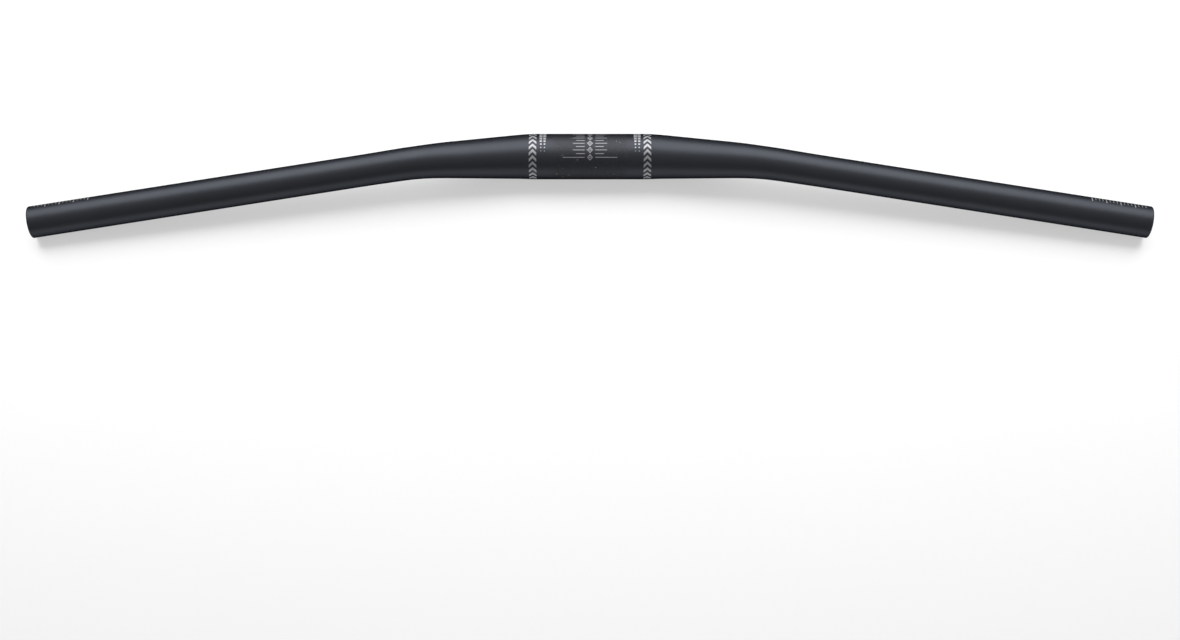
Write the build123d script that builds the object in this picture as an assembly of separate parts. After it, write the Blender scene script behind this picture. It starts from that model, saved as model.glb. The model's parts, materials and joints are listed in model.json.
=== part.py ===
from build123d import *
import math
import os

# A riser handlebar for a bicycle: one hollow aluminium tube, swaged down from a thick middle that the stem
# clamps to two slim arms that carry the grips, and bent twice on each side.
# Sizes are in millimetres and degrees, and describe the bar as it is ridden:
# +X to the rider's right along the clamp axis, +Y forward, +Z up, origin at the middle of the clamp.

# Driving dimensions
bar_width = 780.0            # over the outermost edges of the two ends
clamp_diameter = 31.8        # standard oversize stem clamp
clamp_length = 80.8          # straight middle of full diameter
grip_diameter = 22.2         # standard grips and control clamps
neck_diameter = 23.0         # at the small end of the cone
taper_length = 80.0          # cone from the clamp's edge to the neck, along the tube
runout_length = 36.0         # slight taper from the neck to the grip diameter, along the tube
slope_blend = 9.0            # half the length over which one slope runs into the next
clamp_wall = 2.3             # butted: thick in the middle
grip_wall = 1.8              # and thin at the grips
riser_bend_run = 5.6         # from the clamp's edge to where the clamp and riser axes cross
riser_run = 70.0             # from there to where the riser and arm axes cross, along X
rise = 10.0                  # how far that second crossing lies above the clamp axis
back_sweep = 8.0             # of the arms, seen from above
up_sweep = 4.0               # of the arms, seen from the front
arm_bend_radius = 240.0      # of the tube's centreline
rim_round = 0.9              # outer edge of each end
rim_chamfer = 0.3            # inner edge of each end
section_spacing = 2.0        # between the circles that the tapered bends are lofted through
same_place = 0.001           # closer than this is the same point or radius

# Centreline of the right half: clamp axis, riser and arm, joined by tangent arcs.
# The first arc starts at the clamp's edge, so the clamp is straight over its whole length.
clamp_radius = clamp_diameter / 2
grip_radius = grip_diameter / 2
clamp_edge = clamp_length / 2
riser_direction = Vector(riser_run, 0, rise).normalized()
arm_direction = Vector(1, -math.tan(math.radians(back_sweep)), math.tan(math.radians(up_sweep))).normalized()
riser_turn = math.radians(Vector(1, 0, 0).get_angle(riser_direction))
arm_turn = math.radians(riser_direction.get_angle(arm_direction))
arm_lean = math.acos(arm_direction.X)
middle = Vector(0, 0, 0)
riser_corner = Vector(clamp_edge + riser_bend_run, 0, 0)
arm_corner = riser_corner + Vector(riser_run, 0, rise)
end_x = bar_width / 2 - grip_radius * math.sin(arm_lean)
arm_run = (end_x - arm_corner.X) / arm_direction.X
end_point = arm_corner + arm_direction * arm_run
riser_bend_radius = riser_bend_run / math.tan(riser_turn / 2)
arm_bend_run = arm_bend_radius * math.tan(arm_turn / 2)
centreline = FilletPolyline(
    middle, riser_corner, arm_corner, end_point, radius=[riser_bend_radius, arm_bend_radius]
)

# Stations along the centreline, and the slopes of the outside between them
neck_at = clamp_edge + taper_length
grip_at = neck_at + runout_length
riser_bend_end = clamp_edge + riser_bend_radius * riser_turn
arm_bend_end = centreline.length - arm_run + arm_bend_run
arm_bend_start = arm_bend_end - arm_bend_radius * arm_turn
plain_cone_end = max(riser_bend_end, min(arm_bend_start, neck_at - slope_blend))
straight_at = max(grip_at + slope_blend, arm_bend_end)
cone_slope = (neck_diameter - clamp_diameter) / 2 / taper_length
runout_slope = (grip_diameter - neck_diameter) / 2 / runout_length

# Edges of the ends, no larger than the wall leaves room for
end_round = min(rim_round, grip_wall / 2)
end_chamfer = min(rim_chamfer, grip_wall / 4)

# Turn about the clamp axis at which the clamp and both ends lie on one level surface.
# Each end touches it on its rounded rim, so the arm counts up to where that round starts.
touch_point = end_point - arm_direction * end_round
touch_reach = math.hypot(touch_point.Y, touch_point.Z)
touch_angle = math.atan2(touch_point.Z, -touch_point.Y)
lay_angle = math.degrees(touch_angle + math.asin((clamp_radius - grip_radius) / touch_reach))


def eased(past, blend):
    """Distance past a change of slope, easing in from blend before it to blend after it."""
    if past <= -blend:
        return 0.0
    if past >= blend:
        return past
    return (past + blend) ** 2 / (4 * blend)


def outer_radius(along):
    """Outside of the tube at a distance along it from the middle: clamp, cone, run-out, grip."""
    radius = clamp_radius + cone_slope * max(along - clamp_edge, 0.0)
    radius += (runout_slope - cone_slope) * eased(along - neck_at, slope_blend)
    radius -= runout_slope * eased(along - grip_at, slope_blend)
    return radius


def inner_radius(along):
    """Inside of the tube: the wall thins evenly from the clamp's edge to the straight arm."""
    share = (along - clamp_edge) / (straight_at - clamp_edge)
    wall = clamp_wall + (grip_wall - clamp_wall) * min(max(share, 0.0), 1.0)
    return outer_radius(along) - wall


def section(along, radius):
    """Circle square to the centreline, with its seam on the same side all the way."""
    place = centreline.position_at(along, position_mode=PositionMode.LENGTH)
    heading = centreline.tangent_at(along, position_mode=PositionMode.LENGTH)
    return Plane(origin=place, x_dir=(0, 1, 0), z_dir=heading) * Circle(radius)


def tube(radius_at, overrun):
    """Solid of a given radius all along the bar, its ends lengthened by overrun."""
    arm_length = centreline.length - straight_at + overrun
    side = extrude(section(straight_at, radius_at(straight_at)), arm_length)
    # riser bend, plain cone, arm bend and run-out; a stretch that has shrunk to nothing drops out
    breaks = sorted({clamp_edge, riser_bend_end, plain_cone_end, arm_bend_end, straight_at})
    for start, stop in zip(breaks, breaks[1:]):
        is_plain_cone = start == riser_bend_end and stop == plain_cone_end
        spaces = 1 if is_plain_cone else math.ceil((stop - start) / section_spacing)
        stations = [start + (stop - start) * k / spaces for k in range(spaces + 1)]
        side += loft([section(along, radius_at(along)) for along in stations])
    clamp = extrude(Plane.YZ * Circle(radius_at(0.0)), clamp_edge, both=True)
    return clamp + side + mirror(side, about=Plane.YZ)


def rims(bar, radius):
    """The circular edges of a given radius on the two end faces."""
    return [
        edge for edge in bar.edges().filter_by(GeomType.CIRCLE)
        if abs(abs(edge.arc_center.X) - end_point.X) < same_place and abs(edge.radius - radius) < same_place
    ]


def handlebar():
    """Outside less inside, with the edges of both ends eased, laid on its clamp and its two ends."""
    bar = tube(outer_radius, 0.0) - tube(inner_radius, clamp_wall)
    bar = fillet(rims(bar, grip_radius), end_round)
    bar = chamfer(rims(bar, grip_radius - grip_wall), end_chamfer)
    return bar.rotate(Axis.X, lay_angle)


os.makedirs("parts", exist_ok=True)
export_step(handlebar(), "parts/handlebar.step")
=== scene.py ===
import json
import math

import bpy
from mathutils import Matrix, Vector


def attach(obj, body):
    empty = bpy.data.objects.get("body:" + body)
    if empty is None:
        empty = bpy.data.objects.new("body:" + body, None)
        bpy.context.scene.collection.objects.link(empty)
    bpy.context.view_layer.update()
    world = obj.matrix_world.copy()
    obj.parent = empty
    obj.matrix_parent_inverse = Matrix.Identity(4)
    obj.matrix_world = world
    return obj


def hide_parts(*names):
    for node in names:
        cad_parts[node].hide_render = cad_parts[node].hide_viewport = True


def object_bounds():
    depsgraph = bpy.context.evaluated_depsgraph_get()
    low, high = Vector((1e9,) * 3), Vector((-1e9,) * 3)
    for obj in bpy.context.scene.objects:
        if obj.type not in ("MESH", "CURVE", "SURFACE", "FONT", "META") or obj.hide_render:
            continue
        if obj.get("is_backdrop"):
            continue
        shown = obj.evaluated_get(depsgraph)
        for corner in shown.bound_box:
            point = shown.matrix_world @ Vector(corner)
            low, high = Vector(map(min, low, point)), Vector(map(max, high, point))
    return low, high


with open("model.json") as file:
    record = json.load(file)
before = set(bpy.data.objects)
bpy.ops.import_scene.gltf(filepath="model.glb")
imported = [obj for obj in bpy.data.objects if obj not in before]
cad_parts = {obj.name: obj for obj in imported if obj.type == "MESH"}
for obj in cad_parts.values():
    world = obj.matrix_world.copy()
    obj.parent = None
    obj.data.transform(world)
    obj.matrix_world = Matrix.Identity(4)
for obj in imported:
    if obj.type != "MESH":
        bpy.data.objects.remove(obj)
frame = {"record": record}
cad_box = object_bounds()

# The bar is one aluminium tube, swaged slim from its thick middle to its ends and bent twice on each side.
# Half of it is drawn ring by ring: out along its length, round the rim of the end and back inside the wall.
# The other half is its mirror image, welded to the first in the middle of the clamp.
mounts = {mount["name"]: mount for mount in frame["record"]["mounts"]}
clamp, grip, bore = mounts["stem_clamp"], mounts["right_grip"], mounts["right_end_bore"]
clamp_radius = clamp["dims"]["r_mm"] / 1000
clamp_edge = clamp["dims"]["length_mm"] / 2000
grip_radius = grip["dims"]["r_mm"] / 1000
bore_radius = bore["dims"]["r_mm"] / 1000
clamp_wall = 0.0023
grip_wall = grip_radius - bore_radius
neck_radius = 0.0115
taper_length = 0.080
runout_length = 0.036
neck_at = clamp_edge + taper_length
grip_at = neck_at + runout_length
slope_blend = 0.009
rim_round = 0.0009
rim_chamfer = 0.0003

# Clamp axis, riser and arm cross at two corners, each rounded by a bend
riser_bend_run = 0.0056
riser_run = 0.070
arm_bend_radius = 0.240
clamp_heading = Vector((1, 0, 0))
arm_heading = Vector(grip["axis"])
arm_middle = Vector(grip["pos_m"])
riser_corner = Vector((clamp_edge + riser_bend_run, 0, 0))
arm_corner = arm_middle + arm_heading * ((riser_corner.x + riser_run - arm_middle.x) / arm_heading.x)
riser_heading = (arm_corner - riser_corner).normalized()
end_point = arm_middle + arm_heading * (grip["dims"]["length_mm"] / 2000 + rim_round)
riser_turn = clamp_heading.angle(riser_heading)
riser_axis = clamp_heading.cross(riser_heading).normalized()
riser_bend = riser_bend_run / math.tan(riser_turn / 2) * riser_turn
arm_turn = riser_heading.angle(arm_heading)
arm_axis = riser_heading.cross(arm_heading).normalized()
arm_bend = arm_bend_radius * arm_turn
arm_bend_run = arm_bend_radius * math.tan(arm_turn / 2)
riser_straight = (arm_corner - riser_corner).length - riser_bend_run - arm_bend_run
straight_at = grip_at + slope_blend
run_out = straight_at - (clamp_edge + riser_bend + riser_straight + arm_bend)
arm_straight = (end_point - arm_corner).length - arm_bend_run - run_out - rim_round


def eased(past, blend):
    """Distance past a change of slope, easing in from blend before it to blend after it."""
    if past <= -blend:
        return 0.0
    if past >= blend:
        return past
    return (past + blend) ** 2 / (4 * blend)


def outside(along):
    """Radius of the tube at a distance along it from the middle: clamp, cone, run-out, grip."""
    cone_slope = (neck_radius - clamp_radius) / taper_length
    runout_slope = (grip_radius - neck_radius) / runout_length
    radius = clamp_radius + cone_slope * max(along - clamp_edge, 0.0)
    radius += (runout_slope - cone_slope) * eased(along - neck_at, slope_blend)
    return radius - runout_slope * eased(along - grip_at, slope_blend)


def inside(along):
    """Radius of the hollow: the wall thins evenly from the clamp's edge to the straight arm."""
    share = min(max((along - clamp_edge) / (straight_at - clamp_edge), 0.0), 1.0)
    return outside(along) - clamp_wall - (grip_wall - clamp_wall) * share


def steps(length, count, turn=0.0, axis=clamp_heading):
    """A stretch of the centreline, straight or bent, in equal steps."""
    return [(length / count, turn / count, axis)] * count


def draw_on(place, heading, step, scale):
    """Lengthen the tube's open end by one ring, straight on or round a bend, and size the new ring."""
    length, turn, axis = step
    if turn:
        centre = place + axis.cross(heading) * (length / turn)
        swing = Matrix.Rotation(turn, 3, axis)
        bpy.ops.mesh.spin(steps=1, angle=-turn, center=centre, axis=axis)
        place = centre + swing @ (place - centre)
        heading = swing @ heading
    else:
        bpy.ops.mesh.extrude_region_move(TRANSFORM_OT_translate={"value": heading * length})
        place = place + heading * length
    bpy.ops.transform.resize(value=(scale, scale, scale), center_override=place)
    return place, heading


# A ring close before an edge keeps the shading crisp there, and the ruler's stretch has a ring at each end
shoulder = 0.0005
ruler_length = 0.0445
plain_arm_steps = 5
bends = (
    steps(clamp_edge - shoulder, count=1)
    + steps(shoulder, count=1)
    + steps(riser_bend, count=8, turn=riser_turn, axis=riser_axis)
    + steps(riser_straight, count=8)
    + steps(arm_bend, count=20, turn=arm_turn, axis=arm_axis)
    + steps(run_out, count=12)
)
arm = (
    steps(arm_straight - ruler_length - shoulder, count=plain_arm_steps)
    + steps(ruler_length, count=1)
    + steps(shoulder, count=1)
)
ring_points = 96
bpy.ops.object.select_all(action="DESELECT")
bpy.ops.mesh.primitive_circle_add(
    vertices=ring_points, radius=clamp_radius, rotation=(0, math.pi / 2, 0)
)
bar = bpy.context.object
bar.name = bar.data.name = "bar"
bpy.ops.object.transform_apply(location=True, rotation=True, scale=True)
bpy.ops.object.mode_set(mode="EDIT")
bpy.ops.mesh.select_all(action="SELECT")
place, heading, along, radius = Vector((0, 0, 0)), clamp_heading, 0.0, clamp_radius
for step in bends + arm:
    along += step[0]
    place, heading = draw_on(place, heading, step, outside(along) / radius)
    radius = outside(along)

# The round of the rim, then the flat end face, which is the last of the painted faces
rim_steps = 8
for number in range(rim_steps):
    before, after = (math.pi / 2 * (number + k) / rim_steps for k in (0, 1))
    step = (rim_round * (math.sin(after) - math.sin(before)), 0.0, arm_axis)
    rounded = grip_radius - rim_round * (1 - math.cos(after))
    place, heading = draw_on(place, heading, step, rounded / radius)
    along, radius = along + step[0], rounded
mouth_radius = bore_radius + rim_chamfer
place, heading = draw_on(place, heading, (0.0, 0.0, arm_axis), mouth_radius / radius)
bpy.ops.object.mode_set(mode="OBJECT")
painted_faces = len(bar.data.polygons)

# The chamfer of the mouth, and the inside of the wall back to the middle of the clamp
bpy.ops.object.mode_set(mode="EDIT")
step = (-rim_chamfer, 0.0, arm_axis)
place, heading = draw_on(place, heading, step, bore_radius / mouth_radius)
along, radius = along - rim_chamfer, bore_radius
for length, turn, axis in reversed(bends + steps(along - straight_at, count=6)):
    along -= length
    place, heading = draw_on(place, heading, (-length, -turn, axis), inside(along) / radius)
    radius = inside(along)
bpy.ops.object.mode_set(mode="OBJECT")
for face in bar.data.polygons[painted_faces:]:
    face.material_index = 1

# Where the finish is baked to a picture, this map gives most of its room to the printed clamp and the ruler.
# Each zone has its first and last ring, its corner on the map, and its way there along and round the tube.
# The clamp's print ends before the fourth ring.
points = [vertex.co for vertex in bar.data.vertices]
run = [0.0]
for number in range(ring_points, len(points), ring_points):
    run.append(run[-1] + (points[number] - points[number - ring_points]).length)
print_ring = 4
ruler_ring = len(bends) + plain_arm_steps
mouth_ring = painted_faces // ring_points
zones = (
    (0, print_ring, Vector((0.500, 0.004)), Vector((-0.340, 0.0)), Vector((0.0, 0.874))),
    (print_ring, ruler_ring, Vector((0.006, 0.006)), Vector((0.0, 0.474)), Vector((0.148, 0.0))),
    (ruler_ring, mouth_ring, Vector((0.006, 0.490)), Vector((0.0, 0.388)), Vector((0.148, 0.0))),
    (mouth_ring, len(run) - 1, Vector((0.006, 0.888)), Vector((0.488, 0.0)), Vector((0.0, 0.106))),
)
finish_map = bar.data.uv_layers.new(name="OFBake")
for face in bar.data.polygons:
    rings, columns = zip(*(divmod(number, ring_points) for number in face.vertices))
    first, last, corner, way_along, way_round = [zone for zone in zones if zone[0] <= min(rings)][-1]
    for number, ring, column in zip(face.loop_indices, rings, columns):
        # the face that closes a ring ends at the full turn
        if max(columns) - column == ring_points - 1:
            column = ring_points
        share = (run[ring] - run[first]) / (run[last] - run[first])
        finish_map.uv[number].vector = corner + way_along * share + way_round * (column / ring_points)

mirror = bar.modifiers.new("other_half", "MIRROR")
mirror.merge_threshold = 0.00001
mirror.use_mirror_u = True
bpy.ops.object.modifier_apply(modifier=mirror.name)
bpy.ops.object.mode_set(mode="EDIT")
bpy.ops.mesh.select_all(action="SELECT")
bpy.ops.mesh.normals_make_consistent(inside=False)
bpy.ops.object.mode_set(mode="OBJECT")
sharp_from = math.radians(30)
bpy.ops.object.shade_smooth_by_angle(angle=sharp_from)


class Shade:
    """A socket of a node tree that takes part in Python expressions: each operation adds a Math node."""

    def __init__(self, tree, socket=None):
        self.tree = tree
        self.socket = socket

    def node(self, kind, settings, inputs, output=0):
        """Add any node: its settings first, then the values or links of its inputs."""
        added = self.tree.nodes.new(kind)
        for name, value in settings.items():
            setattr(added, name, value)
        for name, value in inputs.items():
            if isinstance(value, Shade):
                self.tree.links.new(value.socket, added.inputs[name])
            else:
                added.inputs[name].default_value = value
        return Shade(self.tree, added.outputs[output] if added.outputs else None)

    def output(self, name):
        """Another output of the node that this socket is on."""
        return Shade(self.tree, self.socket.node.outputs[name])

    def math(self, operation, first, second=0.0):
        """The result of a Math node."""
        return self.node("ShaderNodeMath", {"operation": operation}, {0: first, 1: second})

    def __add__(self, other):
        return self.math("ADD", self, other)

    __radd__ = __add__

    def __sub__(self, other):
        return self.math("SUBTRACT", self, other)

    def __rsub__(self, other):
        return self.math("SUBTRACT", other, self)

    def __mul__(self, other):
        return self.math("MULTIPLY", self, other)

    __rmul__ = __mul__

    def __truediv__(self, other):
        return self.math("DIVIDE", self, other)

    def __mod__(self, other):
        return self.math("FLOORED_MODULO", self, other)

    def __lt__(self, other):
        return self.math("LESS_THAN", self, other)

    def __gt__(self, other):
        return self.math("GREATER_THAN", self, other)

    def __and__(self, other):
        return self.math("MINIMUM", self, other)

    def __or__(self, other):
        return self.math("MAXIMUM", self, other)

    def __abs__(self):
        return self.math("ABSOLUTE", self)

    def __round__(self):
        return self.math("ROUND", self)

    def between(self, low, high):
        """1 where this value lies between two others, and 0 elsewhere."""
        return (self > low) & (self < high)

    def ramp(self, low, high, at_low, at_high, easing="LINEAR"):
        """A value that goes from one level to another while this one goes from low to high."""
        return self.node(
            "ShaderNodeMapRange", {"interpolation_type": easing},
            {"Value": self, "From Min": low, "From Max": high, "To Min": at_low, "To Max": at_high},
        )

    def mix(self, under, over):
        """A colour that goes from one to another while this value goes from 0 to 1."""
        return self.node("ShaderNodeMix", {"data_type": "RGBA"}, {0: self, 6: under, 7: over}, 2)


def fresh_nodes(owner):
    """Clear the nodes of a material or a world, and give a start to its expressions."""
    owner.use_nodes = True
    owner.node_tree.nodes.clear()
    return Shade(owner.node_tree)


def place_on_bar(start):
    """Where on the bar a point of its surface lies: as one vector, and as X, Y and Z."""
    surface = start.node("ShaderNodeTexCoord", {}, {}, "Object")
    split = start.node("ShaderNodeSeparateXYZ", {}, {"Vector": surface})
    return surface, split.output("X"), split.output("Y"), split.output("Z")


def from_end(off_middle, y, z, direction):
    """How far a point lies from the middle of the nearer end face, measured along a direction."""
    return off_middle * direction.x + y * direction.y + z * direction.z - end_point.dot(direction)


# Satin black finish, with silver marks printed on it and a grip of fine grit in the middle of the clamp
finish = bpy.data.materials.new("satin_black")
start = fresh_nodes(finish)
surface, x, y, z = place_on_bar(start)
off_middle = abs(x)

# The clamp's printed side faces up and towards the ends, and round_clamp runs from its middle over the top
print_tilt = math.radians(65.4)
print_side = Vector((0, -math.cos(print_tilt), math.sin(print_tilt)))
print_top = Vector((0, math.sin(print_tilt), math.cos(print_tilt)))
round_clamp = clamp_radius * start.math(
    "ARCTAN2", y * print_top.y + z * print_top.z, y * print_side.y + z * print_side.z
)

# Roll scale: a long base line, then short and long lines by turns, on both sides of a column of open diamonds
line_pitch = 0.00259
line_count = 12
line_half = 0.00021
base_line_drop = 0.0005
lines_from, short_line_to, long_line_to, base_line_to = 0.0037, 0.0096, 0.0118, 0.0189
rung = (round_clamp + base_line_drop) / line_pitch
nearest_rung = round(rung)
is_long = nearest_rung % 2 < 0.5
is_base = nearest_rung < 0.5
lines_to = (
    short_line_to + is_long * (long_line_to - short_line_to) + is_base * (base_line_to - long_line_to)
)
roll_lines = (
    (abs(rung - nearest_rung) * line_pitch < line_half) & (off_middle > lines_from)
    & (off_middle < lines_to) & nearest_rung.between(-0.5, line_count - 0.5)
)
diamond_half_height, diamond_half_width = 0.0023, 0.0020
diamond_hole, diamond_core = 0.66, 0.28
pair = rung / 2
nearest_pair = round(pair)
diamond = (
    abs(pair - nearest_pair) * (2 * line_pitch / diamond_half_height) + off_middle / diamond_half_width
)
diamonds = (
    (diamond.between(diamond_hole, 1.0) | (diamond < diamond_core))
    & nearest_pair.between(-0.5, line_count / 2 - 0.5)
)

# Band of chevrons over each edge of the clamp, and beside it rows of squares that shrink away down the front.
# Half a chevron and half a square are given as shares of their pitch.
band_at, band_half = 0.0398, 0.0026
chevron_pitch = 0.0043
chevron_half = 0.25
lowest_chevron, highest_chevron = -5, 7
off_band = abs(off_middle - band_at)
chevron = (round_clamp + off_band) / chevron_pitch
nearest_chevron = round(chevron)
chevrons = (
    (abs(chevron - nearest_chevron) < chevron_half) & (off_band < band_half)
    & nearest_chevron.between(lowest_chevron - 0.5, highest_chevron + 0.5)
)
squares_at, square_pitch = 0.0328, 0.0026
first_row, last_row = 1.0, 12.0
small_at, small_half = 0.004, 0.10
large_at, large_half = 0.017, 0.42
column = (off_middle - squares_at) / square_pitch
row = round_clamp / square_pitch
half_square = round_clamp.ramp(small_at, large_at, small_half, large_half)
squares = (
    (abs(column % 1 - 0.5) < half_square) & (abs(row % 1 - 0.5) < half_square)
    & (abs(column) < 1.0) & row.between(first_row, last_row)
)

# Ruler for sawing the bar shorter, along the top of each end, a little further over at one end than the other
inward = -arm_heading
arm_side = (print_side - arm_heading * print_side.dot(arm_heading)).normalized()
arm_top = arm_side.cross(arm_heading)
ruler_from, ruler_to = 0.0050, 0.0437
trim_pitch = 0.0025
long_tick_at, long_tick_every = 0.013, 4
tick_half, long_tick_extra = 0.00024, 0.00012
ticks_from, ticks_to = math.radians(61), math.radians(82)
long_tick_reach = math.radians(7)
ruler_skew = math.radians(3)
trim = from_end(off_middle, y, z, inward)
tick = (trim - long_tick_at) / trim_pitch
nearest_tick = round(tick)
is_long_tick = nearest_tick % long_tick_every < 0.5
up_arm = from_end(off_middle, y, z, arm_top)
across_arm = from_end(off_middle, y, z, arm_side)
over_arm = start.math("ARCTAN2", up_arm, across_arm) + start.math("SIGN", x) * ruler_skew
ticks = (
    (abs(tick - nearest_tick) * trim_pitch < tick_half + is_long_tick * long_tick_extra)
    & (over_arm > ticks_from - is_long_tick * long_tick_reach) & (over_arm < ticks_to)
    & trim.between(ruler_from, ruler_to)
)
ink = roll_lines | diamonds | chevrons | squares | ticks

# Grit, with a painted glint here and there and a few larger pale grains, in a share of the cells of two
# patterns
grit_full, grit_end = 0.022, 0.029
smallest_grain, grain_spread = 0.06, 0.08
glint_size = 0.4
grain_share, glint_share = 0.22, 0.07
grain_zone, glint_zone = 0.4, 0.2
grit = off_middle.ramp(grit_full, grit_end, 1.0, 0.0, "SMOOTHSTEP")
grain = start.node("ShaderNodeTexVoronoi", {}, {"Vector": surface, "Scale": 480.0})
grain_lot = start.node("ShaderNodeSeparateColor", {}, {"Color": grain.output("Color")})
grain_size = smallest_grain + grain_lot.output("Green") * grain_spread
grains = (grain < grain_size) & (grain_lot > 1.0 - grain_share) & (grit > grain_zone)
# Painted glints: a few fine cells get a lighter grey for light sparkling off the grit, and are raised a
# little
glint = start.node("ShaderNodeTexVoronoi", {}, {"Vector": surface, "Scale": 3000.0})
glint_lot = start.node("ShaderNodeSeparateColor", {}, {"Color": glint.output("Color")})
painted_glint_spots = (glint_lot > 1.0 - glint_share) & (glint < glint_size) & (grit > glint_zone)

# The black itself, blasted to a satin and a little clouded, with grit, painted glints, grains and ink laid
# over it
darker_black, lighter_black = (0.061, 0.065, 0.076, 1.0), (0.069, 0.074, 0.085, 1.0)
grit_black, grit_cover = (0.059, 0.061, 0.067, 1.0), 0.7
# Lighter grey of the painted glints, a painted highlight on the grit
painted_glint_grey = (0.16, 0.16, 0.17, 1.0)
grain_white = (0.60, 0.60, 0.61, 1.0)
ink_silver, ink_paint = (0.46, 0.47, 0.49, 1.0), 0.15
grit_relief, glint_relief, ink_relief = 2.0, 0.6, 0.5
satin_roughness, blast_roughness, grit_roughness = 0.43, 0.10, 0.04
blast = start.node("ShaderNodeTexNoise", {}, {"Vector": surface, "Scale": 2600.0, "Detail": 2.0})
cloud = start.node("ShaderNodeTexNoise", {}, {"Vector": surface, "Scale": 60.0, "Detail": 3.0})
black = cloud.mix(darker_black, lighter_black)
gritty = (grit * grit_cover).mix(black, grit_black)
# Painted highlight: the glint specks are coloured lighter than the grit round them
painted_glinting = painted_glint_spots.mix(gritty, painted_glint_grey)
grained = grains.mix(painted_glinting, grain_white)
printed = ink.mix(grained, ink_silver)
relief = blast * (1.0 + grit * grit_relief) + painted_glint_spots * glint_relief + ink * ink_relief
bump = start.node("ShaderNodeBump", {}, {"Strength": 0.5, "Distance": 0.00008, "Height": relief})
satin = start.node(
    "ShaderNodeBsdfPrincipled", {},
    {
        "Base Color": printed,
        "Roughness": satin_roughness + (blast - 0.5) * blast_roughness + grit * grit_roughness,
        "Metallic": 1.0 - ink * ink_paint,
        "Specular Tint": (0.0, 0.0, 0.0, 1.0),
        "Normal": bump,
    },
)
start.node("ShaderNodeOutputMaterial", {}, {"Surface": satin})

# Bare aluminium inside, streaked along its length, with a mist of black in the mouth of each end
dull, bright = (0.66, 0.66, 0.67, 1.0), (0.88, 0.88, 0.89, 1.0)
smooth_roughness, streak_roughness = 0.34, 0.15
mist_black, mist_cover = (0.030, 0.031, 0.034, 1.0), 0.7
mist_from, mist_to = 0.0003, 0.003
bare = bpy.data.materials.new("bare_aluminium")
start = fresh_nodes(bare)
surface, x, y, z = place_on_bar(start)
stretched = start.node("ShaderNodeMapping", {}, {"Vector": surface, "Scale": (0.03, 1.0, 1.0)})
streaks = start.node("ShaderNodeTexNoise", {}, {"Vector": stretched, "Scale": 1400.0, "Detail": 4.0})
mist = from_end(abs(x), y, z, inward).ramp(mist_from, mist_to, mist_cover, 0.0)
misted = mist.mix(streaks.mix(dull, bright), mist_black)
drawn = start.node(
    "ShaderNodeBsdfPrincipled", {},
    {"Base Color": misted, "Roughness": smooth_roughness + streaks * streak_roughness, "Metallic": 0.85},
)
start.node("ShaderNodeOutputMaterial", {}, {"Surface": drawn})

bar.data.materials.append(finish)
bar.data.materials.append(bare)
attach(bar, "root")
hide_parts("handlebar")

# The table top is one wide sheet of pale satin board, laid level, and isn't part of the bar.
# The bar lies on it by the underside of its clamp and the rims of its two ends, with nothing to hold it.
# Half of what is seen of the board is plain white, which keeps the ground white and the bar's shadow light.
table_size = 14.0
white_share = 0.5
bpy.ops.object.select_all(action="DESELECT")
bpy.ops.mesh.primitive_plane_add(size=table_size, location=(0, 0, -clamp_radius))
table_top = bpy.context.object
table_top.name = table_top.data.name = "table_top"
bpy.ops.object.transform_apply(location=True, rotation=True, scale=True)
pale = bpy.data.materials.new("pale_top")
start = fresh_nodes(pale)
board = start.node(
    "ShaderNodeBsdfPrincipled", {},
    {"Base Color": (0.94, 0.94, 0.94, 1.0), "Metallic": 0.55, "Roughness": 0.45},
)
white = start.node("ShaderNodeEmission", {}, {"Color": (1.0, 1.0, 1.0, 1.0), "Strength": 1.0})
camera_ray = start.node("ShaderNodeLightPath", {}, {}, "Is Camera Ray")
seen = camera_ray | camera_ray.output("Is Glossy Ray") | camera_ray.output("Is Transmission Ray")
ground = start.node("ShaderNodeMixShader", {}, {0: seen * white_share, 1: board, 2: white})
start.node("ShaderNodeOutputMaterial", {}, {"Surface": ground})
table_top.data.materials.append(pale)
table_top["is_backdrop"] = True

# The light is one long soft strip, high up behind the bar, in a pale room that is brighter overhead.
# The strip draws the bright line along the bar's upper side, and the room fills the rest.
level_sideways, more_overhead = 0.13, 0.28
strip_height = math.radians(47.5)
strip_distance = 2.8
strip_length, strip_width = 5.2, 3.2
strip_watts = 104.0
world = bpy.data.worlds.new("pale_room")
bpy.context.scene.world = world
start = fresh_nodes(world)
direction = start.node("ShaderNodeTexCoord", {}, {}, "Generated")
overhead = start.node("ShaderNodeSeparateXYZ", {}, {"Vector": direction}).output("Z") | 0.0
room_level = level_sideways + overhead * more_overhead
room = start.node("ShaderNodeBackground", {}, {"Color": (1.0, 1.0, 1.0, 1.0), "Strength": room_level})
start.node("ShaderNodeOutputWorld", {}, {"Surface": room})
bpy.ops.object.light_add(
    type="AREA",
    location=(0, strip_distance * math.cos(strip_height), strip_distance * math.sin(strip_height)),
    rotation=(strip_height - math.pi / 2, 0, 0),
)
strip = bpy.context.object
strip.name = "strip"
strip.data.shape = "RECTANGLE"
strip.data.size = strip_length
strip.data.size_y = strip_width
strip.data.energy = strip_watts

# The camera looks down on the bar from in front, with the ends towards the lower edge of the picture.
# Its place and lens put the bar's outline where the photograph has it.
image_width = 1180
focal_pixels = 1921.5
view_height = math.radians(65.405)
axis_height = math.radians(70.265)
view_distance = 1.350
bpy.ops.object.camera_add(
    location=(0, -view_distance * math.cos(view_height), view_distance * math.sin(view_height)),
    rotation=(math.pi / 2 - axis_height, 0, 0),
)
camera = bpy.context.object
camera.data.sensor_width = 36.0
camera.data.lens = camera.data.sensor_width * focal_pixels / image_width
bpy.context.scene.camera = camera
bpy.context.scene.view_settings.view_transform = "Standard"

boxes = {"cad": cad_box, "visual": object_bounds()}
{name: [list(corner) for corner in box] for name, box in boxes.items()}
